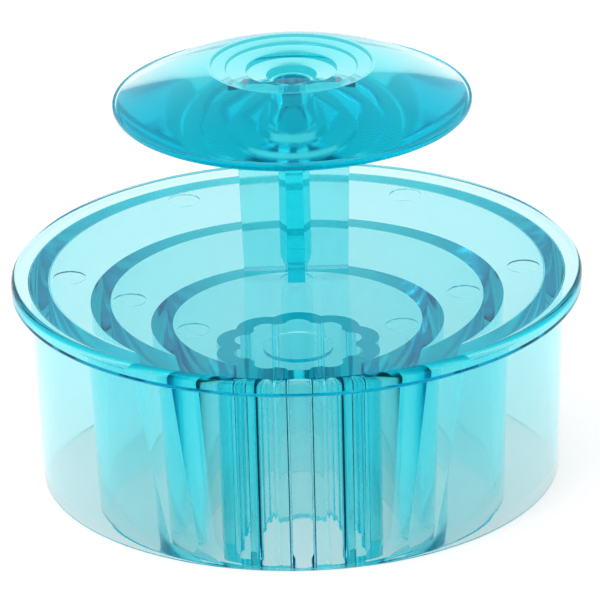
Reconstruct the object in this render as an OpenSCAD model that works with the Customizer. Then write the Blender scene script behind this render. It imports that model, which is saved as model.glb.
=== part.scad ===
// A clear hand cutter: a flanged head whose underside has four ring walls, one inside another.
// The rings all meet at the front, and the smallest is fluted. A cross-shaped post and a lens-shaped
// palm knob stand on the head.
// Origin: centre of the base, on the resting plane. +Z is up, and -Y is the front, where the rings meet.

/* [Head] */
// Radius of the flange round the top plate
flange_r = 40; // [38.5:0.5:44]
// Overall height of the head
head_h = 30; // [28:0.5:34]
// Outside radius of the outermost wall where it meets the plate
drum_r = 37.4; // [37:0.1:37.8]
// Thickness of the top plate
plate_t = 2.5; // [2:0.1:2.7]
// Thickness of the outermost wall at its root
wall_t = 2.6; // [2.4:0.1:2.8]
// Amount by which a wall's outside tapers in towards its foot
taper = 1; // [0.2:0.1:1.1]
// Upper edge radius of the flange
flange_edge_r = 0.9; // [0.3:0.1:1.2]

/* [Ring walls] */
// Outside radius of the large ring
large_r = 28.7; // [28.2:0.1:29]
// Outside radius of the small ring
small_r = 20.2; // [19.8:0.1:20.5]
// Amount by which each ring is thicker than the one outside it
ring_extra_t = 0.2; // [0.1:0.1:0.4]
// Radius of the circle through the lobe centres of the fluted ring
lobe_centre_r = 7.3; // [7:0.1:7.5]
// Radius of each lobe of the fluted ring
lobe_r = 4.2; // [4:0.1:4.4]
// Number of lobes
lobes = 10; // [8:2:12]
// Width of the flat land at the foot of the outermost wall
land_w = 0.8; // [0.5:0.1:1]
// Height of the bevel inside the foot of a wall
bevel_h = 2.1; // [1:0.1:3]

/* [Marks under the plate] */
// Radius of each ejector mark
mark_r = 2.3; // [1.5:0.1:2.5]
// Depth of each ejector mark
mark_depth = 0.2; // [0.1:0.05:0.4]
// Radius of the round pad inside the fluted ring
pad_r = 4.8; // [3:0.1:5.5]
// Height of the pad
pad_h = 0.5; // [0.2:0.1:1]

/* [Post] */
// Height from the top plate to the widest part of the knob
knob_lift = 25; // [20:0.5:30]
// Thickness of the fins
fin_t = 2.4; // [2:0.1:3]
// Half width of the side fins at the foot
side_fin_foot = 7.25; // [6:0.05:8]
// Half width of the side fins at the knob
side_fin_top = 7.9; // [6:0.1:9]
// Half width of the front and back fins
front_fin = 5.7; // [4.5:0.1:7]
// Radius of the round core, which ends in a peg in the knob
core_r = 2.5; // [2:0.1:2.7]
// Radius of the core's narrow foot, which is a spigot in the plate
spigot_r = 1.5; // [1.3:0.1:1.8]
// Height over which the core narrows to its foot
core_foot_h = 2.4; // [1:0.1:4]

/* [Knob] */
// Radius of the knob
knob_r = 25; // [22:0.5:28]
// Height of the knob's crown above its widest part
crown_h = 6.8; // [5:0.1:9]
// Depth of the knob's underside below its widest part
belly_h = 2.6; // [1:0.1:3.5]
// Radius of the rounded rim
knob_edge_r = 0.8; // [0.4:0.1:1.4]
// Radius of the flat underside round the post
seat_r = 9.5; // [9:0.1:12]
// Radius of the stepped dish on top
dish_r = 11.6; // [9:0.1:13]

/* [Hidden] */
$fn = 128;

// A shape that is cut out runs past its neighbour by this much.
over = 1;
// Height of the walls, from the resting plane to the underside of the plate.
wall_h = head_h - plate_t;
// How far the inside of a wall flares out over the bevel.
foot_flare = wall_t - taper - land_w;
// Lower edge radius of the flange.
flange_low_r = 0.4;

// Inside radii of the three plain walls.
drum_in_r = drum_r - wall_t;
large_in_r = large_r - wall_t - ring_extra_t;
small_in_r = small_r - wall_t - 2 * ring_extra_t;
// Outermost reach of the lobes.
flute_r = lobe_centre_r + lobe_r;
// Inside of the fluted ring: smaller lobes on the same centres, round a core just past them.
flute_wall_t = 2.4;
flute_in_r = lobe_r - flute_wall_t;
flute_core_r = lobe_centre_r + 0.6;
// Places of the ring centres: every ring touches the front of the outermost wall.
large_y = large_r - drum_r;
small_y = small_r - drum_r;
flute_y = flute_r - drum_r;

// Circles that the ejector marks stand on, each about the centre of the wall round it.
drum_mark_circle = 31.8;
large_mark_circle = 23.2;
small_mark_circle = 14.6;

// Heights on the handle.
equator_z = head_h + knob_lift;
seat_z = equator_z - belly_h;
// The spigot goes half way into the top plate.
spigot_h = plate_t / 2;
// Exponent of the crown's curve: a little flatter in the middle than a parabola.
crown_power = 2.2;
// The crown starts this far inside the rim.
crown_inset = 0.6;
// Steps of the dish: radius of each tread, and the drop from its rim.
tread_r = [dish_r - 0.5, dish_r * 0.78, dish_r * 0.54, core_r + 0.9];
tread_drop = [0.35, 0.75, 1.6, 2.9];
riser_run = 0.25;
bead_r = 0.35;
// Heights above the widest part: the dish's rim, its floor and the end of the peg.
dish_rim_h = crown_height(dish_r);
dish_floor_h = dish_rim_h - tread_drop[3];
peg_top_h = dish_floor_h + bead_r;

cyan = [0.05, 0.72, 0.82, 0.55];
deep_cyan = [0.02, 0.62, 0.76, 0.65];

// Height of the crown above the widest part of the knob, at radius r.
function crown_height(r) = crown_h * (1 - pow(r / knob_r, crown_power));
// Points along an arc of the (radius, height) plane.
function arc(cx, cy, r, a0, a1, n = 8) =
    [for (i = [0:n]) [cx + r * cos(a0 + (a1 - a0) * i / n), cy + r * sin(a0 + (a1 - a0) * i / n)]];

// The space inside a plain wall: straight, with a bevel that flares to the land at the foot.
module wall_inside(inside_r, top) {
    rotate_extrude()
        polygon([[0, -over], [inside_r + foot_flare, -over], [inside_r + foot_flare, 0],
                 [inside_r, bevel_h], [inside_r, top], [0, top]]);
}

// Shallow round ejector marks under the plate, at the given angles round a wall's centre.
module marks(angles, circle_r, centre_y) {
    translate([0, centre_y, wall_h - over])
        for (a = angles)
            rotate(a)
                translate([circle_r, 0, 0])
                    cylinder(r = mark_r, h = over + mark_depth);
}

// The flange, the top plate and the outermost wall.
module drum() {
    color(cyan)
        difference() {
            union() {
                difference() {
                    rotate_extrude()
                        polygon(concat(
                            [[0, 0], [drum_r - taper, 0], [drum_r, wall_h]],
                            arc(flange_r - flange_low_r, wall_h + flange_low_r, flange_low_r, -90, 0, 4),
                            arc(flange_r - flange_edge_r, head_h - flange_edge_r, flange_edge_r, 0, 90),
                            [[0, head_h]]));
                    wall_inside(drum_in_r, wall_h);
                }
                translate([0, flute_y, wall_h - pad_h])
                    cylinder(r = pad_r, h = pad_h + plate_t / 2);
            }
            marks([0:60:180], drum_mark_circle, 0);
            marks([0:90:180], large_mark_circle, large_y);
            marks([-10, 90, 190], small_mark_circle, small_y);
            translate([0, 0, head_h - spigot_h])
                cylinder(r = spigot_r, h = spigot_h + over);
        }
}

// A plain ring wall about its own centre, which stops where it runs into the wall outside it.
module ring_wall(r, inside_r, centre_y, outer_in_r, outer_y) {
    intersection() {
        translate([0, centre_y, 0])
            difference() {
                cylinder(r1 = r - taper, r2 = r, h = wall_h);
                wall_inside(inside_r, wall_h + over);
            }
        translate([0, outer_y, 0])
            wall_inside(outer_in_r, wall_h + over);
    }
}

module large_ring() {
    color(cyan)
        ring_wall(large_r, large_in_r, large_y, drum_in_r, 0);
}

module small_ring() {
    color(cyan)
        ring_wall(small_r, small_in_r, small_y, large_in_r, large_y);
}

// Fluted outline: a ring of overlapping circles round a core.
module fluted_outline(round_r, core) {
    circle(r = core);
    for (i = [0:lobes - 1])
        rotate(90 + i * 360 / lobes)
            translate([lobe_centre_r, 0])
                circle(r = round_r, $fn = 48);
}

module fluted_ring() {
    color(cyan)
        intersection() {
            translate([0, flute_y, 0])
                difference() {
                    linear_extrude(wall_h)
                        fluted_outline(lobe_r, lobe_centre_r);
                    translate([0, 0, -over])
                        linear_extrude(wall_h + 2 * over)
                            fluted_outline(flute_in_r, flute_core_r);
                }
            translate([0, small_y, 0])
                wall_inside(small_in_r, wall_h + over);
        }
}

// A pair of opposite fins, as one plate with sloping ends.
module fin_pair(foot, top) {
    rotate([90, 0, 0])
        translate([0, 0, -fin_t / 2])
            linear_extrude(fin_t)
                polygon([[-foot, head_h], [foot, head_h], [top, seat_z], [-top, seat_z]]);
}

module post() {
    color(deep_cyan)
        union() {
            fin_pair(side_fin_foot, side_fin_top);
            rotate(90)
                fin_pair(front_fin, front_fin);
            rotate_extrude()
                polygon([[0, head_h - spigot_h], [spigot_r, head_h - spigot_h], [spigot_r, head_h],
                         [core_r, head_h + core_foot_h], [core_r, equator_z + peg_top_h],
                         [0, equator_z + peg_top_h]]);
        }
}

// Outline of the dish from its rim inwards: a flat tread, then a steep riser, four times.
function dish_profile() =
    [for (i = [0:3])
        each [[tread_r[i] + riser_run, dish_rim_h - (i == 0 ? 0 : tread_drop[i - 1])],
              [tread_r[i], dish_rim_h - tread_drop[i]]]];

module knob() {
    crown_start = knob_r - crown_inset;
    crown = [for (i = [0:14])
        let (r = crown_start - (crown_start - dish_r) * i / 14) [r, crown_height(r)]];
    color(deep_cyan)
        translate([0, 0, equator_z])
            difference() {
                union() {
                    rotate_extrude()
                        polygon(concat(
                            [[0, -belly_h], [seat_r, -belly_h]],
                            arc(knob_r - knob_edge_r, 0, knob_edge_r, -75, 25, 6),
                            crown,
                            dish_profile(),
                            [[0, dish_floor_h]]));
                    translate([0, 0, dish_floor_h])
                        rotate_extrude()
                            translate([core_r + bead_r, 0])
                                circle(r = bead_r, $fn = 24);
                }
                translate([0, 0, -belly_h - over])
                    cylinder(r = core_r, h = belly_h + crown_h + 2 * over);
            }
}

drum();
large_ring();
small_ring();
fluted_ring();
post();
knob();
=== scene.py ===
"""Looks for the clear ring cutter: each piece is rebuilt as a fine smooth mesh of tinted plastic."""
import math

import bmesh
import bpy
from mathutils import Matrix, Vector


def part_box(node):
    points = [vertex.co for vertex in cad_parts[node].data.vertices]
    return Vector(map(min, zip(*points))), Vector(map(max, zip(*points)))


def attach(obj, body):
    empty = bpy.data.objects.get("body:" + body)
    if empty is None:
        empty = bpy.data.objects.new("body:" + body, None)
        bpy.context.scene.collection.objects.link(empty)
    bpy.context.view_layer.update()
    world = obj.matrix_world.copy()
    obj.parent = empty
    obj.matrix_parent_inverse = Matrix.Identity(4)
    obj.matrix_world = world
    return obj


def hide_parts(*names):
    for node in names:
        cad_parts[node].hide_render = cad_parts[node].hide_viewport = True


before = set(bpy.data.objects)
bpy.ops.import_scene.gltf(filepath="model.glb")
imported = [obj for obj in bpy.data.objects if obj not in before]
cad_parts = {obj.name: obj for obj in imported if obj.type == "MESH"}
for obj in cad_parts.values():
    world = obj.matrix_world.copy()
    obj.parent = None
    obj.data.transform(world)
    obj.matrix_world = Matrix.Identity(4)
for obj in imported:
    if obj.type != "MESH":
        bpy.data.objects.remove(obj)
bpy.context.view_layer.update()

# ---------------------------------------------------------------- sizes, in metres
MM = 0.001
PLATE = 2.5 * MM          # thickness of the top plate
FLANGE_LIP = 2.6 * MM     # how far the flange stands out past the outermost wall
WALL = 2.6 * MM           # thickness of the outermost wall at its root
RING_EXTRA = 0.2 * MM     # each ring is this much thicker than the one outside it
TAPER = 1.0 * MM          # how far a wall's outside draws in towards its foot
LAND = 0.8 * MM           # flat land at a wall's foot
BEVEL = 2.1 * MM          # height of the bevel inside the foot
FLARE = WALL - TAPER - LAND
LOBES = 10
FLUTE_WALL = 2.4 * MM     # thickness of the fluted wall at the middle of a lobe
FLUTE_CORE = 0.6 * MM     # how far the fluted hollow's core reaches past the lobe centres
MARK_R = 2.3 * MM         # ejector marks
MARK_DEPTH = 0.2 * MM
PAD_R = 4.8 * MM          # pad under the plate, inside the fluted ring
PAD_H = 0.5 * MM
POST_CORE = 2.45 * MM     # the post's round core, and its end in the knob
SEAT = 0.04 * MM          # the post's ends reach this far into the head and the knob, as in a glued joint
PEG_LIFT = 0.03 * MM      # the core's end piece starts this far above the knob's underside
TUCK = 0.1 * MM           # a ring stays this far inside the outermost wall where they merge


def size_of(node):
    low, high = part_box(node)
    return (high.x - low.x) / 2, low.z, high.z


FLANGE_R, _, HEAD_TOP = size_of("drum")
KNOB_R, KNOB_LOW, _ = size_of("knob")
POST_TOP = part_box("post")[1].z
UNDER = HEAD_TOP - PLATE  # underside of the plate
ROOT = UNDER + PLATE / 2  # the walls' roots are buried to half the plate's thickness
DRUM_R = FLANGE_R - FLANGE_LIP
LARGE_R = 28.7 * MM
SMALL_R = 20.2 * MM
LOBE_R = 4.2 * MM
LOBE_CENTRE_R = 7.3 * MM
# Every ring meets the others at the front, so its centre lies this far from the post's axis.
LARGE_Y = LARGE_R - DRUM_R + TUCK
SMALL_Y = SMALL_R - DRUM_R + TUCK
FLUTE_Y = LOBE_CENTRE_R + LOBE_R - DRUM_R + TUCK

# Ejector marks in each crescent: centre of the wall round it, radius of their circle, angles in degrees.
MARKS = [
    (0, 31.8 * MM, (0, 60, 120, 180)),
    (LARGE_Y, 23.2 * MM, (0, 90, 180)),
    (SMALL_Y, 14.6 * MM, (-10, 90, 190)),
]

# Steps round a turned piece
TURN_STEPS = 256
FLUTE_STEPS = 480
PEG_STEPS = 96
DISC_STEPS = 64
SHARP = 35                # edges that turn by more than this many degrees stay sharp

# ---------------------------------------------------------------- materials
SURFACE_TINT = (0.93, 0.94, 0.95, 1)
PLASTIC_IOR = 1.49
REFLECTION = 0.3          # strength of reflections, where 0.5 is a real plastic's
REFLECTION_TINT = (0.05, 0.92, 1, 1)
FLOW_STRETCH = 0.2        # scale of the flow lines' noise along the height, which draws them out upright
RIPPLE_DEPTH = 0.4 * MM
HAZE_SCALE = 140
HAZE_FROM = (0.35, 0.7)   # noise values at which the haze is thinnest and thickest
POLISH_FADE = 0.5 * MM    # height over which the haze thins out
POLISHED = 0.3            # share of the haze that is left where the moulding is polished


def map_range(tree, start, end):
    """A node that maps one range of values, (low, high), onto another."""
    node = tree.nodes.new("ShaderNodeMapRange")
    node.inputs["From Min"].default_value, node.inputs["From Max"].default_value = start
    node.inputs["To Min"].default_value, node.inputs["To Max"].default_value = end
    return node


def noise(tree, scale, detail):
    node = tree.nodes.new("ShaderNodeTexNoise")
    node.inputs["Scale"].default_value = scale
    node.inputs["Detail"].default_value = detail
    return node


def tinted_plastic(name, absorb, ripple_scale, ripple, rough, polished_above=None):
    """Clear plastic whose tint comes from its depth. Faint upright flow lines and a handling haze cover it,
    and the haze thins out above a height where the moulding is polished. Its reflections are weaker and
    bluer than real plastic's, which keeps deep places as saturated as they look in studio light."""
    material = bpy.data.materials.new(name)
    material.use_nodes = True
    tree = material.node_tree
    tree.nodes.clear()
    link = tree.links.new
    out = tree.nodes.new("ShaderNodeOutputMaterial")
    shader = tree.nodes.new("ShaderNodeBsdfPrincipled")
    shader.inputs["Base Color"].default_value = SURFACE_TINT
    shader.inputs["Transmission Weight"].default_value = 1
    shader.inputs["IOR"].default_value = PLASTIC_IOR
    shader.inputs["Specular IOR Level"].default_value = REFLECTION
    shader.inputs["Specular Tint"].default_value = REFLECTION_TINT
    link(shader.outputs[0], out.inputs["Surface"])

    depth = tree.nodes.new("ShaderNodeVolumeAbsorption")
    density = max(absorb)
    depth.inputs["Color"].default_value = (*(1 - a / density for a in absorb), 1)
    depth.inputs["Density"].default_value = density
    link(depth.outputs[0], out.inputs["Volume"])

    place = tree.nodes.new("ShaderNodeTexCoord")
    flow = tree.nodes.new("ShaderNodeMapping")
    flow.inputs["Scale"].default_value = (1, 1, FLOW_STRETCH)
    wave = noise(tree, ripple_scale, 2)
    bump = tree.nodes.new("ShaderNodeBump")
    bump.inputs["Strength"].default_value = ripple
    bump.inputs["Distance"].default_value = RIPPLE_DEPTH
    link(place.outputs["Object"], flow.inputs["Vector"])
    link(flow.outputs["Vector"], wave.inputs["Vector"])
    link(wave.outputs["Fac"], bump.inputs["Height"])
    link(bump.outputs["Normal"], shader.inputs["Normal"])

    haze = noise(tree, HAZE_SCALE, 3)
    haze_range = map_range(tree, HAZE_FROM, rough)
    link(place.outputs["Object"], haze.inputs["Vector"])
    link(haze.outputs["Fac"], haze_range.inputs["Value"])
    roughness = haze_range.outputs["Result"]
    if polished_above is not None:
        height = tree.nodes.new("ShaderNodeSeparateXYZ")
        polish = map_range(tree, (polished_above - POLISH_FADE, polished_above), (1, POLISHED))
        thinned = tree.nodes.new("ShaderNodeMath")
        thinned.operation = "MULTIPLY"
        link(place.outputs["Object"], height.inputs[0])
        link(height.outputs["Z"], polish.inputs["Value"])
        link(polish.outputs["Result"], thinned.inputs[0])
        link(roughness, thinned.inputs[1])
        roughness = thinned.outputs[0]
    link(roughness, shader.inputs["Roughness"])
    return material


# Light taken off per metre of plastic: red, green, blue. The post is the deeper of the two.
CYAN = (130, 14, 8)
DEEP_CYAN = (260, 22, 12)
head_plastic = tinted_plastic("head_plastic", CYAN, 70, 0.05, (0.03, 0.08), UNDER - 0.1 * MM)
knob_plastic = tinted_plastic("knob_plastic", CYAN, 30, 0.01, (0.05, 0.08))
post_plastic = tinted_plastic("post_plastic", DEEP_CYAN, 90, 0.03, (0.03, 0.08))

# ---------------------------------------------------------------- mesh helpers


def arc(cx, cz, r, a0, a1, n=6):
    """Points along an arc in the (radius, height) plane, angles in degrees."""
    turn = [math.radians(a0 + (a1 - a0) * i / n) for i in range(n + 1)]
    return [(cx + r * math.cos(a), cz + r * math.sin(a)) for a in turn]


def finish_mesh(name, bm, material):
    bmesh.ops.remove_doubles(bm, verts=bm.verts, dist=1e-7)
    bmesh.ops.recalc_face_normals(bm, faces=bm.faces)
    mesh = bpy.data.meshes.new(name)
    bm.to_mesh(mesh)
    bm.free()
    mesh.polygons.foreach_set("use_smooth", [True] * len(mesh.polygons))
    mesh.set_sharp_from_angle(angle=math.radians(SHARP))
    mesh.materials.append(material)
    piece = bpy.data.objects.new(name, mesh)
    bpy.context.scene.collection.objects.link(piece)
    return piece


def turned(name, outline, material, steps=TURN_STEPS, centre_y=0):
    """A solid of revolution about an upright axis. The outline runs from the axis round to the axis, or
    closes on itself; a radius may be a function of angle."""
    bm = bmesh.new()
    rings = []
    for r, z in outline:
        if not callable(r) and r < 1e-9:
            rings.append([bm.verts.new((0, centre_y, z))] * steps)
            continue
        ring = []
        for i in range(steps):
            a = 2 * math.pi * i / steps
            radius = r(a) if callable(r) else r
            ring.append(bm.verts.new((radius * math.cos(a), centre_y + radius * math.sin(a), z)))
        rings.append(ring)
    for low, high in zip(rings, rings[1:]):
        for i in range(steps):
            j = (i + 1) % steps
            corners = []
            for v in (low[i], low[j], high[j], high[i]):
                if v not in corners:
                    corners.append(v)
            if len(corners) > 2:
                bm.faces.new(corners)
    return finish_mesh(name, bm, material)


def apply_modifiers(piece):
    graph = bpy.context.evaluated_depsgraph_get()
    piece.data = bpy.data.meshes.new_from_object(piece.evaluated_get(graph))
    piece.modifiers.clear()


def sharpen(piece):
    piece.data.set_sharp_from_angle(angle=math.radians(SHARP))


def combine(piece, other, operation):
    """Adds another closed mesh to a piece, or cuts it out, and drops the other."""
    joined = piece.modifiers.new(operation.lower(), "BOOLEAN")
    joined.operation = operation
    joined.solver = "EXACT"
    joined.object = other
    apply_modifiers(piece)
    sharpen(piece)
    bpy.data.objects.remove(other)


def drop_slivers(piece):
    """Joins points that a boolean leaves almost on one another, and drops the faces that this empties."""
    near = 0.002 * MM
    bm = bmesh.new()
    bm.from_mesh(piece.data)
    bmesh.ops.remove_doubles(bm, verts=bm.verts, dist=near)
    bmesh.ops.dissolve_degenerate(bm, edges=bm.edges, dist=near)
    bm.to_mesh(piece.data)
    bm.free()
    sharpen(piece)


def even_shading(piece):
    """Large flat faces keep their own normal, so only the rounded edges between them shade round."""
    weighted = piece.modifiers.new("even", "WEIGHTED_NORMAL")
    weighted.weight = 100
    weighted.keep_sharp = True
    apply_modifiers(piece)


# ---------------------------------------------------------------- the head


def drum_shape():
    """Flange, plate and outermost wall."""
    round_top = 0.9 * MM
    round_low = 0.4 * MM
    fillet = 0.3 * MM
    foot_edge = 0.15 * MM
    inside = DRUM_R - WALL
    outline = ([(0, HEAD_TOP)]
               + arc(FLANGE_R - round_top, HEAD_TOP - round_top, round_top, 90, 0)
               + arc(FLANGE_R - round_low, UNDER + round_low, round_low, 0, -90)
               + arc(DRUM_R + fillet, UNDER - fillet, fillet, 90, 180)
               + [(DRUM_R - TAPER, foot_edge), (DRUM_R - TAPER - foot_edge, 0)]
               + [(inside + FLARE, 0), (inside, BEVEL)]
               + arc(inside - fillet, UNDER - fillet, fillet, 0, 90)
               + [(0, UNDER)])
    return turned("head_clear", outline, head_plastic)


def ring_shape(r, thickness, centre_y, foot_z):
    """A plain ring wall, whose root is buried in the plate."""
    inside = r - thickness
    outline = [(r - TAPER, foot_z), (r, UNDER), (r, ROOT), (inside, ROOT), (inside, BEVEL),
               (inside + FLARE, foot_z), (r - TAPER, foot_z)]
    return turned("ring", outline, head_plastic, centre_y=centre_y)


def lobed(lobe_r, core_r, limit_r=None):
    """Radius, as a function of angle, of overlapping circles round a core, kept inside the outermost wall."""
    def radius(angle):
        step = 2 * math.pi / LOBES
        off = (angle - math.pi / 2 + step / 2) % step - step / 2
        spread = lobe_r ** 2 - (LOBE_CENTRE_R * math.sin(off)) ** 2
        edge = LOBE_CENTRE_R * math.cos(off) + math.sqrt(spread) if spread > 0 else 0
        edge = max(edge, core_r)
        if limit_r:
            along = FLUTE_Y * math.sin(angle)
            edge = min(edge, math.sqrt(along ** 2 - FLUTE_Y ** 2 + limit_r ** 2) - along)
        return edge
    return radius


def fluted_shape(foot_z):
    """The fluted ring wall, whose root is buried in the plate."""
    hollow = lobed(LOBE_R - FLUTE_WALL, LOBE_CENTRE_R + FLUTE_CORE)
    foot = lobed(LOBE_R, 0, DRUM_R - TAPER - TUCK)
    top = lobed(LOBE_R, 0, DRUM_R - TUCK)
    outline = [(foot, foot_z), (top, UNDER), (top, ROOT), (hollow, ROOT), (hollow, foot_z), (foot, foot_z)]
    return turned("flutes", outline, head_plastic, FLUTE_STEPS, FLUTE_Y)


def discs(name, places, r, low, high):
    """Short round discs in one mesh: ejector marks to cut out, or the pad to add."""
    bm = bmesh.new()
    for x, y in places:
        bmesh.ops.create_cone(bm, cap_ends=True, segments=DISC_STEPS, radius1=r, radius2=r, depth=high - low,
                              matrix=Matrix.Translation((x, y, (low + high) / 2)))
    return finish_mesh(name, bm, head_plastic)


def on_circle(centre_y, circle_r, angles):
    """Places on a circle about a wall's centre, at angles in degrees."""
    return [(circle_r * math.cos(math.radians(a)), centre_y + circle_r * math.sin(math.radians(a)))
            for a in angles]


def build_head():
    head = drum_shape()
    step = 0.02 * MM          # keeps the feet of merging walls off one plane
    combine(head, ring_shape(LARGE_R, WALL + RING_EXTRA, LARGE_Y, step), "UNION")
    combine(head, ring_shape(SMALL_R, WALL + 2 * RING_EXTRA, SMALL_Y, 2 * step), "UNION")
    combine(head, fluted_shape(3 * step), "UNION")
    combine(head, discs("pad", [(0, FLUTE_Y)], PAD_R, UNDER - PAD_H, ROOT), "UNION")
    places = [place for circle in MARKS for place in on_circle(*circle)]
    combine(head, discs("marks", places, MARK_R, UNDER - MARK_DEPTH, UNDER + MARK_DEPTH), "DIFFERENCE")
    drop_slivers(head)
    return head


# ---------------------------------------------------------------- the handle


def build_post():
    """Four fins round a core that narrows to its foot, as one loft."""
    half_t = 1.2 * MM         # half the fins' thickness
    foot_core = 1.75 * MM     # here the core just fills the corners between the fins
    narrowing = 2.4 * MM      # height over which the core narrows to that
    foot_z = HEAD_TOP - SEAT
    seat_z = KNOB_LOW + SEAT
    side_foot, side_top = 7.25 * MM, 7.9 * MM
    front = 5.7 * MM
    arc_steps = 6
    edge = 0.1 * MM
    edge_angle = 50           # edges that turn by more than this many degrees are rounded

    def section(z, core_r):
        t = (z - foot_z) / (seat_z - foot_z)
        side = side_foot + (side_top - side_foot) * t
        near = math.asin(half_t / core_r)
        points = []
        for q in range(4):
            reach, other = (side, front) if q % 2 == 0 else (front, side)
            quarter = [(reach, half_t)]
            for i in range(arc_steps + 1):
                a = near + (math.pi / 2 - 2 * near) * i / arc_steps
                quarter.append((core_r * math.cos(a), core_r * math.sin(a)))
            quarter.append((half_t, other))
            turn = Matrix.Rotation(q * math.pi / 2, 2)
            points += [turn @ Vector(p) for p in quarter]
        return points

    bm = bmesh.new()
    levels = [(foot_z, foot_core), (foot_z + narrowing, POST_CORE), (seat_z, POST_CORE)]
    loops = [[bm.verts.new((p.x, p.y, z)) for p in section(z, r)] for z, r in levels]
    for low, high in zip(loops, loops[1:]):
        for i in range(len(low)):
            j = (i + 1) % len(low)
            bm.faces.new((low[i], low[j], high[j], high[i]))
    bm.faces.new(loops[0])
    bm.faces.new(loops[-1])
    piece = finish_mesh("post_clear", bm, post_plastic)
    round_off = piece.modifiers.new("round", "BEVEL")
    round_off.width = edge
    round_off.segments = 3
    round_off.limit_method = "ANGLE"
    round_off.angle_limit = math.radians(edge_angle)
    apply_modifiers(piece)
    sharpen(piece)
    return piece


def build_peg():
    """The round end of the post inside the knob, which shows in the knob's dish."""
    edge = 0.25 * MM
    foot_z = KNOB_LOW + PEG_LIFT
    outline = ([(0, POST_TOP)] + arc(POST_CORE - edge, POST_TOP - edge, edge, 90, 0)
               + [(POST_CORE, foot_z), (0, foot_z)])
    return turned("post_peg", outline, post_plastic, PEG_STEPS)


def build_knob():
    """A lens with a stepped dish on top and a bore for the post."""
    equator = HEAD_TOP + 25 * MM
    crown = 6.8 * MM
    crown_power = 2.2         # a little flatter in the middle than a parabola
    crown_steps = 60
    crown_start = KNOB_R - 0.6 * MM
    bore = 2.5 * MM
    rim = 0.8 * MM
    rim_from, rim_to = -75, 25
    dish_r = 11.6 * MM
    seat_r = 9.5 * MM
    bead = 0.35 * MM

    def crown_z(r):
        return equator + crown * (1 - (r / KNOB_R) ** crown_power)

    outline = [(bore, KNOB_LOW), (seat_r, KNOB_LOW)]
    outline += arc(KNOB_R - rim, equator, rim, rim_from, rim_to, 8)
    for i in range(crown_steps + 1):
        r = crown_start - (crown_start - dish_r) * i / crown_steps
        outline.append((r, crown_z(r)))
    # The dish steps down inwards, by these radii and drops below its lip in mm. Each riser has rounded
    # corners, whose points are given from its radius, the level before it and the level after it.
    lip = crown_z(dish_r)
    treads = [(dish_r - 0.5 * MM, 0.35), (dish_r * 0.78, 0.75), (dish_r * 0.54, 1.6), (bore + 0.9 * MM, 2.9)]
    drop = 0
    for r, next_drop in treads:
        before, after = lip - drop * MM, lip - next_drop * MM
        outline += [(r + 0.3 * MM, before - 0.04 * MM), (r + 0.12 * MM, before - 0.15 * MM),
                    (r, after + 0.05 * MM), (r - 0.12 * MM, after)]
        drop = next_drop
    outline += arc(bore + bead, lip - drop * MM, bead, 0, 180, 8)
    outline += [(bore, KNOB_LOW)]
    return turned("knob_clear", outline, knob_plastic)


PIECES = [
    (build_head(), ("drum", "large_ring", "small_ring", "fluted_ring"), "head_plastic"),
    (build_post(), ("post",), "post_plastic"),
    (build_peg(), ("post",), "post_plastic"),
    (build_knob(), ("knob",), "knob_plastic"),
]
for piece, nodes, slot in PIECES:
    even_shading(piece)
    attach(piece, "root")
    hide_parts(*nodes)

# ---------------------------------------------------------------- floor, light and camera
FLOOR_HALF = 1.5
FLOOR_Z = -0.05 * MM      # just under the foot of the walls
FLOOR_GLOW = 0.5
STUDIO_LIGHT = 0.74

floor_mesh = bpy.data.meshes.new("floor")
corners = [(x * FLOOR_HALF, y * FLOOR_HALF, 0) for x, y in ((-1, -1), (1, -1), (1, 1), (-1, 1))]
floor_mesh.from_pydata(corners, [], [(0, 1, 2, 3)])
floor = bpy.data.objects.new("floor", floor_mesh)
floor.location.z = FLOOR_Z
bpy.context.scene.collection.objects.link(floor)
table = bpy.data.materials.new("lit_table")
table.use_nodes = True
surface = table.node_tree.nodes["Principled BSDF"]
surface.inputs["Base Color"].default_value = (0.55, 0.55, 0.55, 1)
surface.inputs["Roughness"].default_value = 0.7
surface.inputs["Emission Color"].default_value = (1, 1, 1, 1)
surface.inputs["Emission Strength"].default_value = FLOOR_GLOW
floor_mesh.materials.append(table)

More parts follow.
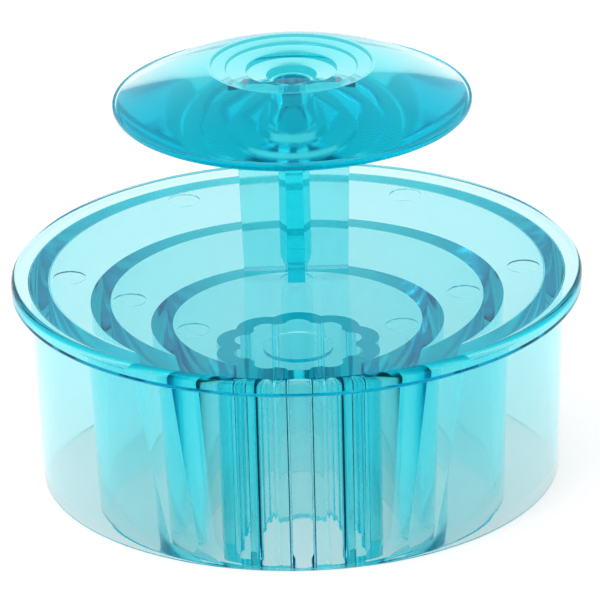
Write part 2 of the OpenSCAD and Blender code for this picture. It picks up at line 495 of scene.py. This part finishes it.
scene = bpy.context.scene
world = bpy.data.worlds.new("studio")
world.use_nodes = True
world.node_tree.nodes["Background"].inputs["Color"].default_value = (1, 1, 1, 1)
world.node_tree.nodes["Background"].inputs["Strength"].default_value = STUDIO_LIGHT
scene.world = world


def softbox(name, place, width, height, watts):
    light = bpy.data.lights.new(name, "AREA")
    light.shape = "RECTANGLE"
    light.size = width
    light.size_y = height
    light.energy = watts
    lamp = bpy.data.objects.new(name, light)
    lamp.location = place
    to_plate = Vector((0, 0, HEAD_TOP)) - Vector(place)
    lamp.rotation_euler = to_plate.to_track_quat("-Z", "Y").to_euler()
    scene.collection.objects.link(lamp)


softbox("key", (-0.5, -0.5, 0.7), 0.6, 0.6, 2.5)

ELEVATION = math.radians(23)
ROLL = math.radians(1.45)
DISTANCE = 1.0
SENSOR = 36
FLANGE_SHARE = 0.952      # share of the picture's width that the flange takes
# The camera looks at a point this far from the middle of the plate's top: right, up, and down the picture.
AIM_RIGHT = 0.4 * MM
AIM_UP = -0.8 * MM
AIM_DOWN_PICTURE = 3.95 * MM
camera_data = bpy.data.cameras.new("camera")
camera_data.sensor_width = SENSOR
camera_data.lens = SENSOR * DISTANCE * FLANGE_SHARE / (2 * FLANGE_R)
camera_data.clip_end = 10
camera = bpy.data.objects.new("camera", camera_data)
scene.collection.objects.link(camera)
scene.camera = camera
toward = Vector((0, -math.cos(ELEVATION), math.sin(ELEVATION)))
up = Vector((0, math.sin(ELEVATION), math.cos(ELEVATION)))
view_centre = Vector((AIM_RIGHT, 0, HEAD_TOP + AIM_UP)) - up * AIM_DOWN_PICTURE
camera.location = view_centre + toward * DISTANCE
aim = (-toward).to_track_quat("-Z", "Y")
camera.rotation_euler = (aim.to_matrix() @ Matrix.Rotation(-ROLL, 3, "Z")).to_euler()

scene.view_settings.view_transform = "Standard"
scene.view_settings.look = "Medium High Contrast"
scene.cycles.max_bounces = 32
scene.cycles.transmission_bounces = 32
scene.cycles.glossy_bounces = 24
scene.cycles.diffuse_bounces = 4
